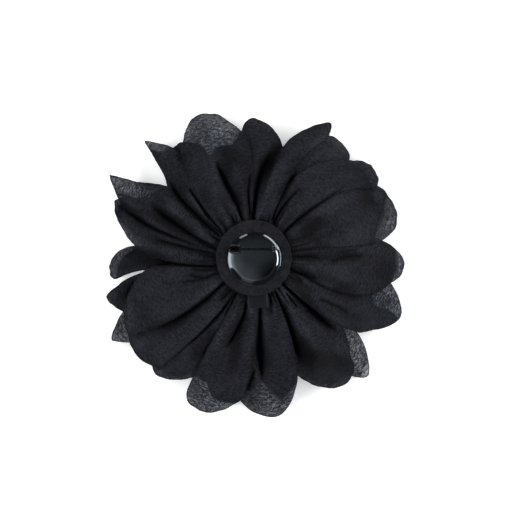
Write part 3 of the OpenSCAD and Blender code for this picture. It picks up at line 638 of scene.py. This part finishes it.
class Nodes:
    """Short names for making the nodes of one material, or of the world's tree."""

    def __init__(self, name, tree=None):
        if tree is None:
            self.material = bpy.data.materials.new(name)
            self.material.use_nodes = True
            self.shader = self.material.node_tree.nodes["Principled BSDF"]
        self.tree = tree or self.material.node_tree

    def add(self, kind, **inputs):
        node = self.tree.nodes.new(kind)
        for key, value in inputs.items():
            self.feed(node.inputs[key.replace("_", " ")], value)
        return node

    def feed(self, socket, value):
        if isinstance(value, bpy.types.NodeSocket):
            self.tree.links.new(value, socket)
        else:
            socket.default_value = value

    def operation(self, kind, operation, a, b):
        node = self.add(kind)
        node.operation = operation
        self.feed(node.inputs[0], a)
        self.feed(node.inputs[1], b)
        return node

    def math(self, operation, a, b):
        return self.operation("ShaderNodeMath", operation, a, b).outputs[0]

    def vector_math(self, operation, a, b=(0, 0, 0)):
        return self.operation("ShaderNodeVectorMath", operation, a, b).outputs["Value"]

    def blend(self, a, b, share):
        """A share of a and the rest of b."""
        return self.math("ADD", self.math("MULTIPLY", a, share), self.math("MULTIPLY", b, 1 - share))

    def between(self, value, low, high, start=0.0, end=1.0):
        """value from start to end, moved to low to high."""
        limits = {"From_Min": start, "From_Max": end, "To_Min": low, "To_Max": high}
        return self.add("ShaderNodeMapRange", Value=value, **limits).outputs["Result"]

    def attribute(self, name):
        node = self.add("ShaderNodeAttribute")
        node.attribute_name = name
        return node.outputs["Vector" if name == "cloth" else "Fac"]

    def stretched(self, vector, scale, turn=0.0):
        node = self.add("ShaderNodeMapping", Vector=vector, Rotation=(0, 0, turn), Scale=scale)
        return node.outputs["Vector"]

    def place(self, scale=(1, 1, 1), turn=0.0):
        """The place on the piece in the row frame, stretched by three scales and turned about Z."""
        return self.stretched(self.add("ShaderNodeTexCoord").outputs["Object"], scale, turn)

    def noise(self, vector, scale, detail=3.0, roughness=0.55, distortion=0.0):
        node = self.add("ShaderNodeTexNoise", Vector=vector, Scale=scale, Detail=detail, Roughness=roughness,
                        Distortion=distortion)
        return node.outputs["Fac"]

    def mixed(self, value, first, second):
        """From one colour to another, as value goes from 0 to 1."""
        node = self.add("ShaderNodeMix")
        node.data_type = "RGBA"
        self.feed(node.inputs[0], value)
        self.feed(node.inputs[6], first)
        self.feed(node.inputs[7], second)
        return node.outputs[2]

    def colour(self, value, dark, light):
        return self.mixed(value, (*dark, 1), (*light, 1))

    def scaled_colour(self, colour, factor):
        node = self.add("ShaderNodeVectorMath")
        node.operation = "SCALE"
        self.feed(node.inputs[0], colour)
        self.feed(node.inputs["Scale"], factor)
        return node.outputs["Vector"]

    def bump(self, height, distance, strength, normal=None):
        node = self.add("ShaderNodeBump", Height=height, Distance=distance, Strength=strength)
        if normal is not None:
            self.feed(node.inputs["Normal"], normal)
        return node.outputs["Normal"]

    def set(self, **inputs):
        for key, value in inputs.items():
            self.feed(self.shader.inputs[key.replace("_", " ")], value)
        return self.material


def crepe(name, sheer):
    """Sheer crepe: short crinkles across the cloth over a fine pebbled weave, with painted shade in the folds
    and the crinkles' hollows.
    """
    n = Nodes(name)
    cloth = n.attribute("cloth")
    crinkle = n.noise(n.stretched(cloth, (0.62, 1.55, 1)), 1, 2.0, 0.55, 0.6)
    fine = n.noise(n.stretched(cloth, (2.2, 3.6, 1)), 1, 2.0, 0.6, 0.3)
    cloud = n.noise(n.stretched(cloth, (0.1, 0.08, 1)), 1, 3.0, 0.5)
    relief = n.blend(crinkle, fine, 0.48)
    # Painted shade and highlight: the colour follows the crinkles' relief, darker in their hollows and lighter
    # on their tops, with a slow random cloud over it
    shade = n.between(n.blend(relief, cloud, 0.82), 0, 1, 0.4, 0.6)
    cut = n.attribute("cut_edge")
    # Painted shade and highlight from the folds, crests, pleats and felt, with lower plies in places; darker
    # again along the thicker cut edge
    painted_shade_and_cut_edge = n.math("MULTIPLY", n.attribute("lightness"), n.between(cut, 1, 0.35))
    base = n.scaled_colour(n.colour(shade, CREPE_DARK, CREPE_LIGHT), painted_shade_and_cut_edge)
    n.set(
        Base_Color=base,
        Roughness=n.between(relief, 0.7, 0.9, 0.35, 0.65),
        Specular_IOR_Level=0.08,
        Sheen_Weight=0.04,
        Sheen_Roughness=0.4,
        Sheen_Tint=(0.8, 0.87, 1, 1),
        Normal=n.bump(relief, 0.0003, 0.9),
    )
    if sheer:
        lone_ply = n.attribute("sheer")
        ripple = n.noise(n.stretched(cloth, (0.6, 1.55, 1)), 1, 2.0, 0.5, 0.8)
        drift = n.noise(n.stretched(cloth, (0.09, 0.09, 1)), 1, 1.0)
        thin = n.blend(ripple, fine, 0.6)
        # Painted light: where a single ply lies, the colour turns lighter and bluer in ripples, standing in
        # for the ground's light coming through
        glow = n.colour(n.between(thin, 0, 1, 0.38, 0.62), (0.008, 0.01, 0.015), (0.03, 0.037, 0.055))
        n.set(Base_Color=n.mixed(n.math("POWER", lone_ply, 2.5), base, glow))
        open_share = n.math("MULTIPLY", lone_ply, n.between(cut, 1, 0))
        weave, cloudy = n.between(thin, 0.08, 0.4, 0.41, 0.6), n.between(drift, 0.95, 1.07, 0.35, 0.65)
        clear = n.math("MULTIPLY", weave, cloudy)
        n.set(Alpha=n.math("SUBTRACT", 1.0, n.math("MULTIPLY", open_share, clear)))
    return n.material


def felt():
    """Matted fibres with small clumps."""
    n = Nodes("felt")
    place = n.place()
    relief = n.blend(n.noise(place, 1500, 6.0, 0.75, 1.5), n.noise(place, 420, 4.0, 0.6), 0.65)
    shade = n.between(relief, 0, 1, 0.35, 0.65)
    return n.set(
        Base_Color=n.colour(shade, (0.0024, 0.0025, 0.0035), (0.0182, 0.0188, 0.0247)),
        Roughness=n.between(relief, 0.85, 1, 0.35, 0.65),
        Specular_IOR_Level=0.06,
        Sheen_Weight=0.03,
        Sheen_Roughness=0.6,
        Normal=n.bump(relief, 0.0005, 0.9),
    )


def ribbon():
    """Ribbed satin, lighter along its two hems."""
    n = Nodes("ribbon")
    along = n.attribute("cloth")
    ribs = n.add("ShaderNodeTexWave", Vector=along, Scale=0.55, Distortion=0.6)
    ribs.bands_direction = "Y"
    relief = n.blend(ribs.outputs["Fac"], n.noise(along, 3.2, 2.0), 0.55)
    colour = n.colour(relief, (0.0033, 0.0036, 0.0047), (0.0112, 0.0119, 0.0155))
    return n.set(
        Base_Color=n.scaled_colour(colour, n.between(n.attribute("cut_edge"), 1, 1.9)),
        Roughness=n.between(relief, 0.42, 0.6),
        Specular_IOR_Level=0.12,
        Sheen_Weight=0.02,
        Normal=n.bump(relief, 0.00012, 0.7),
    )


def metal(name, dark, light, rough_low, rough_high):
    """Polished metal, with faint smudges, hairline wear and softened edges."""
    n = Nodes(name)
    smudge = n.noise(n.place(), 260, 4.0, 0.6, 0.5)
    hair = n.noise(n.place((1, 0.05, 1), 0.6), 2400, 2.0)
    soft_edge = n.add("ShaderNodeBevel", Radius=0.00016)
    soft_edge.samples = 6
    return n.set(
        Base_Color=n.colour(smudge, dark, light),
        Metallic=1.0,
        Roughness=n.between(smudge, rough_low, rough_high, 0.35, 0.65),
        Normal=n.bump(hair, 0.00001, 0.25, soft_edge.outputs["Normal"]),
    )


def make_petals(plain, sheer):
    for petal in PETAL_ROWS:
        points, light, cut, cloth = petal.points()
        piece = thick_sheet(f"crepe_{petal.node}", points, CLOTH * (1 + 0.3 * cut))
        set_point_values(piece, "cloth", cloth)
        # lightness carries the painted shade and highlight that darken and lighten the crepe's colour
        set_point_values(piece, "lightness", light)
        set_point_values(piece, "cut_edge", cut)
        if petal.number in SHEER:
            set_point_values(piece, "sheer", sheer_share(petal.number, points))
        stand_in(piece, petal.node, sheer if petal.number in SHEER else plain)
        width, length, area = flat_size(points)


def lathe(name, profile, centre, turns, lie="Z"):
    """Turn a run of (radius, height) pairs from axis to axis about Z, or about a line along Y."""
    profile = np.array(profile, float)
    angle = np.linspace(0, 2 * math.pi, turns, endpoint=False)[:, None]
    radius, height = profile[1:-1, 0], profile[1:-1, 1]
    rings = np.stack([radius * np.cos(angle), radius * np.sin(angle), height + 0 * angle], axis=-1)
    places = np.concatenate([rings.reshape(-1, 3), [[0, 0, profile[0, 1]], [0, 0, profile[-1, 1]]]])
    places = places[:, {"Z": (0, 1, 2), "Y": (1, 2, 0)}[lie]] + centre
    count = len(radius)
    first, last = turns * count, turns * count + 1
    faces = []
    for k in range(turns):
        a, b = k * count, (k + 1) % turns * count
        faces += [(first, b, a), (last, a + count - 1, b + count - 1)]
        faces += [(a + m, b + m, b + m + 1, a + m + 1) for m in range(count - 1)]
    return new_piece(name, places, faces)


def extrusion(name, outline, lie, start, length, soften):
    """Push a flat outline along X (outline in Y, Z) or along Y (outline in Z, X), and soften its edges."""
    outline = np.array(outline, float)
    count = len(outline)
    places = np.concatenate([
        np.column_stack([np.full(count, start), outline]),
        np.column_stack([np.full(count, start + length), outline]),
    ])
    places = places[:, {"X": (0, 1, 2), "Y": (2, 0, 1)}[lie]]
    faces = [tuple(range(count - 1, -1, -1)), tuple(range(count, 2 * count))]
    faces += [(k, (k + 1) % count, (k + 1) % count + count, k + count) for k in range(count)]
    piece = new_piece(name, places, faces)
    bevel = piece.modifiers.new("soften", "BEVEL")
    bevel.width = soften * MM
    bevel.segments = 3
    bevel.limit_method = "ANGLE"
    bevel.angle_limit = math.radians(40)
    bevel.harden_normals = True
    return piece


def arc(radius, start, end, steps):
    """Points on an arc round 0, 0 between two angles in degrees."""
    angles = np.radians(np.linspace(start, end, steps))
    return [(radius * math.cos(a), radius * math.sin(a)) for a in angles]


def make_centre(material):
    """The gathered dome on the flower's face, with pleats that meet in the middle of its face."""
    low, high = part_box("flower_centre")
    top, widest = high.z / MM, (high.x - low.x) / 2 / MM
    neck, flat, full_z, shoulder_z, steps = 8.7, 5.0, 5.2, ROOT_HEIGHT - 2.6, 20
    inset = 0.3
    profile = [(0.0, 0.35)]
    profile += [(mix(flat, widest, math.sin(t)) - inset, full_z * (1 - math.cos(t)) + 0.05)
                for t in np.linspace(0, math.pi / 2, steps)]
    profile += [(mix(neck, widest, math.cos(t)) - inset, mix(full_z, shoulder_z, math.sin(t)))
                for t in np.linspace(0.08, math.pi / 2, steps)]
    profile += [(neck - 0.2, shoulder_z + 1), (neck - 0.2, top - 0.3), (0.0, top - 0.1)]
    piece = lathe("gathered_centre", profile, (0, 0, 0), 240)
    x, y, z = places_of(piece).T
    radius, angle = np.hypot(x, y), np.arctan2(y, x)
    phases = np.random.default_rng(9).uniform(0, 2 * math.pi, 3)
    gather = (0.5 * np.sin(24 * angle + phases[0] + 0.7 * np.sin(3 * angle))
              + 0.3 * np.sin(41 * angle + phases[1]) + 0.2 * np.sin(13 * angle + phases[2]))
    depth = 0.45 * ramp(radius, 0, 8) * (1 - 0.7 * ramp(z, 6, 10)) * gather
    out = np.where(radius > 0, radius - 0.25 + 0.6 * depth, 0)
    raised = z + np.maximum(0, 0.35 * depth)
    move_to(piece, np.stack([DISC_X + out * np.cos(angle), DISC_Y + out * np.sin(angle), raised], axis=-1))
    stand_in(piece, "flower_centre", material)
    return piece


def make_felt(material):
    """The felt disc, with a soft rim, a slightly uneven face and the seat that the plate presses into it."""
    turns, rounding = 240, 0.5
    rng = np.random.default_rng(23)
    angle = np.linspace(0, 2 * math.pi, turns, endpoint=False)
    lobes = mixed_waves(rng, angle, (3, 5, 9, 17, 41), 0.02, 0.07)
    thickness = FELT_TOP - FELT_BASE
    inner = FELT_R - rounding
    top = [(r, thickness) for r in np.linspace(0, inner, 44)]
    side = [(inner + x, thickness - rounding + y) for x, y in arc(rounding, 75, 0, 6)]
    under = [(inner + x, rounding + y) for x, y in arc(rounding, 0, -75, 6)]
    below = [(r, 0) for r in np.linspace(inner, 0, 8)]
    piece = lathe("felt_backing", top + side + under + below, (0, 0, 0), turns)
    places = places_of(piece)
    r = np.hypot(places[:, 0], places[:, 1])
    turn = np.arctan2(places[:, 1], places[:, 0]) % (2 * math.pi)
    lobe = np.interp(turn, angle, lobes, period=2 * math.pi)
    places[:, :2] *= (1 + lobe / FELT_R * ramp(r, 12, FELT_R))[:, None]
    places += (DISC_X, DISC_Y, FELT_BASE)
    x, y = places[:, 0], places[:, 1]
    from_plate = np.hypot(x - PLATE_X, y - PLATE_Y)
    upper = places[:, 2] > FELT_BASE + thickness / 2
    fluff = sum(
        0.02 * np.sin(x * rng.uniform(-5, 5) + y * rng.uniform(-5, 5) + rng.uniform(0, 6)) for _ in range(24)
    )
    sink = FELT_PRESS * (1 - ease(ramp(from_plate, PLATE_R + 0.15, PLATE_R + 1.1)))
    places[:, 2] += np.where(upper, fluff * ramp(from_plate, PLATE_R, PLATE_R + 0.6) - 0.06 - sink, 0)
    move_to(piece, places)
    stand_in(piece, "felt_disc", material)


def make_ribbon(material):
    """One length of ribbon, folded at its lower end, with both its ends under the felt."""
    fold_r = (RIBBON_STACK - RIBBON_PLY) / 2
    fold_y = fold_r + RIBBON_PLY / 2 - RIBBON_DROP
    middle_z = RIBBON_TOP - RIBBON_STACK / 2
    straight = np.linspace(RIBBON_HIDDEN, fold_y, 30)
    path = [(y, fold_r) for y in straight]
    path += [(fold_y + x, y) for x, y in arc(fold_r, 100, 260, 13)]
    path += [(y, -fold_r) for y in straight[::-1]]
    path = np.array(path)
    run = np.concatenate([[0], np.cumsum(np.linalg.norm(np.diff(path, axis=0), axis=1))])
    half = RIBBON_WIDTH / 2
    a, s = np.meshgrid(np.linspace(-half, half, 41), run, indexing="ij")
    y = np.interp(s, run, path[:, 0])
    z = np.interp(s, run, path[:, 1])
    bow = 0.05 * np.cos(a / half * 1.4) * np.sign(z) + 0.03 * np.sin(1.3 * y + 0.5 * a)
    turn = math.radians(RIBBON_TURN)
    points = np.stack([
        DISC_X + RIBBON_X + a * math.cos(turn) - y * math.sin(turn),
        DISC_Y - FELT_R + a * math.sin(turn) + y * math.cos(turn),
        middle_z + 0.88 * z + bow,
    ], axis=-1)
    edge = 1 - ease(ramp(half - np.abs(a), RIBBON_HEM - 0.15, RIBBON_HEM + 0.15))
    piece = thick_sheet("ribbon_tab", points, RIBBON_PLY * (0.7 + 0.25 * edge))
    set_point_values(piece, "cloth", np.stack([a, s, 0 * a], axis=-1))
    set_point_values(piece, "cut_edge", edge)
    stand_in(piece, "label_tab", material)


def plate_part(piece, material):
    stand_in(piece, "pin_plate", material)


def make_plate(material):
    """The polished dome: nearly flat on top, a rounded shoulder, and a sloped skirt with a soft edge."""
    steep, flat, soft, skirt, skirt_foot = 50, 6, 0.1, 38, 42.5
    ring_r = DOME_R - SHOULDER_R * math.sin(math.radians(steep))
    ring_z = FLANGE - SHOULDER_R * math.cos(math.radians(steep))
    crown_r = ring_r / math.sin(math.radians(flat)) + SHOULDER_R
    crown_z = ring_z + (SHOULDER_R - crown_r) * math.cos(math.radians(flat))
    crown = [(x, crown_z + y) for x, y in arc(crown_r, 90, 90 - flat, 18)]
    shoulder = [(ring_r + x, ring_z + y) for x, y in arc(SHOULDER_R, 90 - flat, 90 - skirt, 28)][1:]
    start_r, start_z = shoulder[-1]
    fall = np.radians(np.linspace(skirt, skirt_foot, 10))
    run = (PLATE_R - soft - start_r) / (np.sin(fall[-1]) - np.sin(fall[0]))
    slope = [(start_r + run * (math.sin(t) - math.sin(fall[0])),
              start_z + run * (math.cos(t) - math.cos(fall[0]))) for t in fall[1:]]
    edge = [(PLATE_R - soft + x, soft + y) for x, y in arc(soft, 45, -90, 8)]
    profile = crown + shoulder + slope + edge + [(0, 0)]
    plate_part(lathe("polished_plate", profile, (PLATE_X, PLATE_Y, PLATE_BASE), 256), material)


def make_hinge(ear_material, rivet_material):
    """Two ears that stand on the plate, and the headed rivet through them."""
    top = [(PIN_Z + y, HINGE_X + x) for x, y in arc(EAR_R, 180, 0, 25)]
    outline = [(FOOT_Z, HINGE_X - EAR_R)] + top + [(FOOT_Z, HINGE_X + EAR_R)]
    inside = EYE_WIDTH / 2 + TURNING_GAP
    for name, start in (("hinge_ear_lower", -inside - EAR_THICKNESS), ("hinge_ear_upper", inside)):
        plate_part(extrusion(name, outline, "Y", PIN_Y + start, EAR_THICKNESS, 0.09), ear_material)
    half, head_r, head = inside + EAR_THICKNESS, 0.62, 0.2
    domed = [(x * head_r, half + y * head) for x, y in arc(1, 90, 0, 9)]
    profile = [(x, -y) for x, y in domed] + [(RIVET_R, -half), (RIVET_R, half)] + domed[::-1]
    plate_part(lathe("hinge_rivet", profile, (HINGE_X, PIN_Y, PIN_Z), 48, "Y"), rivet_material)


def make_saddle(material):
    """The open tube on its foot that the catch's barrel turns in."""
    bore = BARREL_R + TURNING_GAP
    outer = bore + SADDLE_WALL
    lip = math.degrees(math.acos(SADDLE_HALF / bore))
    outside = math.degrees(math.acos(SADDLE_HALF / outer))
    foot = FOOT_Z - PIN_Z
    outline = arc(outer, outside, -outside, 33) + [(SADDLE_HALF, foot), (-SADDLE_HALF, foot)]
    outline += arc(outer, 180 + outside, 180 - outside, 33) + arc(bore, 180 - lip, 360 + lip, 49)
    outline = [(PIN_Y + x, PIN_Z + y) for x, y in outline]
    start = CATCH_X - SADDLE_LENGTH / 2
    plate_part(extrusion("catch_saddle", outline, "X", start, SADDLE_LENGTH, 0.07), material)


def dress_node(name, material):
    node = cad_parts[name]
    node.data.materials.clear()
    node.data.materials.append(material)


def make_camera():
    """Looks straight down, with the felt disc where the photograph has it."""
    image_size, distance, plane_z = 512, 1200.0, 8.0
    data = bpy.data.cameras.new("camera")
    data.sensor_width = 36
    data.lens = data.sensor_width * distance / (image_size * MM_PER_PIXEL)
    data.clip_start, data.clip_end = 0.01, 20
    camera = bpy.data.objects.new("camera", data)
    x = DISC_X + (image_size / 2 - DISC_PIXEL[0]) * MM_PER_PIXEL
    y = DISC_Y + (DISC_PIXEL[1] - image_size / 2) * MM_PER_PIXEL
    camera.location = (x * MM, y * MM, (plane_z + distance) * MM)
    bpy.context.scene.collection.objects.link(camera)
    bpy.context.scene.camera = camera


def make_floor():
    """Pale paper with painted light: a faint glow of its own that lifts the shadows round the flower and
    shines through its sheer tips, left out under the flower, which stays in its shade.
    """
    shade_r, glow_r, glow, half = 0.036, 0.046, 0.4, 3000
    n = Nodes("paper_floor")
    pale = n.colour(n.noise(n.place(), 6, 2.0), (0.9, 0.9, 0.9), (0.92, 0.92, 0.92))
    n.set(Base_Color=pale, Roughness=0.9, Specular_IOR_Level=0.1)
    far = n.vector_math("LENGTH", n.place())
    n.set(Emission_Color=(1, 1, 1, 1), Emission_Strength=n.between(far, 0, glow, shade_r, glow_r))
    corners = [(-half, -half, 0), (half, -half, 0), (half, half, 0), (-half, half, 0)]
    floor = new_piece("floor", corners, [(0, 1, 2, 3)])
    floor.data.materials.append(n.material)


def towards(azimuth, elevation):
    """A step of length 1 in a direction given in degrees."""
    a, e = math.radians(azimuth), math.radians(elevation)
    return Vector((math.cos(e) * math.cos(a), math.cos(e) * math.sin(a), math.sin(e)))


def area_light(name, azimuth, elevation, wide, high, radiance):
    """A softbox 1.2 m from the flower that faces it; its width and height are in degrees."""
    distance = 1.2
    data = bpy.data.lights.new(name, "AREA")
    data.shape = "RECTANGLE"
    data.size, data.size_y = (2 * distance * math.tan(math.radians(angle / 2)) for angle in (wide, high))
    data.energy = radiance * math.pi * data.size * data.size_y
    light = bpy.data.objects.new(name, data)
    light.location = distance * towards(azimuth, elevation)
    light.rotation_mode = "QUATERNION"
    light.rotation_quaternion = (-light.location).to_track_quat("-Z", "Y")
    bpy.context.scene.collection.objects.link(light)
    return light


def make_lights():
    """Two long softboxes light the cloth; strips and panels that only gloss shows are there for the metal.

    Each row has azimuth, elevation, width and height in degrees, then radiance.
    """
    for row in (
        ("softbox_right", 8, 28, 77, 17, 10.7),
        ("softbox_left", 180, 28, 82, 17, 10.5),
    ):
        area_light(*row).visible_glossy = False
    for row in (
        ("strip_right", 8, 27, 42, 17, 13),
        ("rim_upper_right", 45, 9, 46, 6, 3.3),
        ("rim_upper_left", 116, 9, 18, 7, 1.6),
        ("rim_right", -5, 8, 44, 6, 0.25),
        ("panel_left_low", 183, 12, 34, 16, 1.7),
        ("panel_left_middle", 183, 19, 36, 30, 0.9),
        ("panel_left", 183, 28, 38, 48, 0.45),
        ("panel_left_high", 183, 45, 40, 36, 0.3),
        ("panel_lower_left", 251, 36, 28, 50, 0.22),
    ):
        area_light(*row).visible_diffuse = False


def make_world():
    """A dim studio under a pale ceiling, lighter to the left, darker at the top and the lower right.

    Each row is a soft spot: azimuth, elevation and reach in degrees, then how much lighter or darker it is.
    """
    world = bpy.data.worlds.new("studio")
    world.use_nodes = True
    n = Nodes("studio", world.node_tree)
    direction = n.add("ShaderNodeTexCoord").outputs["Generated"]
    strength = 0.05
    for azimuth, elevation, reach, gain in (
        (0, 90, 60, 0.115),
        (183, 60, 24, 0.42),
        (235, 60, 26, 0.3),
        (-48, 72, 14, -0.135),
        (90, 65, 22, -0.08),
        (0, 70, 20, -0.05),
    ):
        nearness = n.vector_math("DOT_PRODUCT", direction, towards(azimuth, elevation))
        strength = n.math("ADD", n.between(nearness, 0, gain, math.cos(math.radians(reach)), 1), strength)
    background = world.node_tree.nodes["Background"]
    background.inputs["Color"].default_value = (0.93, 0.96, 1, 1)
    n.feed(background.inputs["Strength"], n.math("MAXIMUM", strength, 0.01))
    bpy.context.scene.world = world
    bpy.context.scene.view_settings.view_transform = "Standard"


make_camera()
make_floor()
make_lights()
make_world()
centre_piece = make_centre(crepe("centre_crepe", False))
make_petals(crepe("petal_crepe", False), crepe("petal_crepe_sheer", True))
make_felt(felt())
make_ribbon(ribbon())
make_plate(metal("black_nickel", (0.11, 0.125, 0.14), (0.15, 0.165, 0.18), 0.06, 0.12))
hardware_nickel = metal("hardware_nickel", (0.045, 0.046, 0.05), (0.085, 0.087, 0.09), 0.24, 0.36)
make_hinge(hardware_nickel, metal("rivet_brass", (0.22, 0.1, 0.06), (0.34, 0.18, 0.11), 0.2, 0.3))
make_saddle(hardware_nickel)
dress_node("catch_barrel", metal("barrel_brass", (0.03, 0.027, 0.026), (0.15, 0.1, 0.08), 0.2, 0.3))
dress_node("pin_stem", metal("pin_steel", (0.018, 0.019, 0.021), (0.04, 0.041, 0.044), 0.2, 0.3))
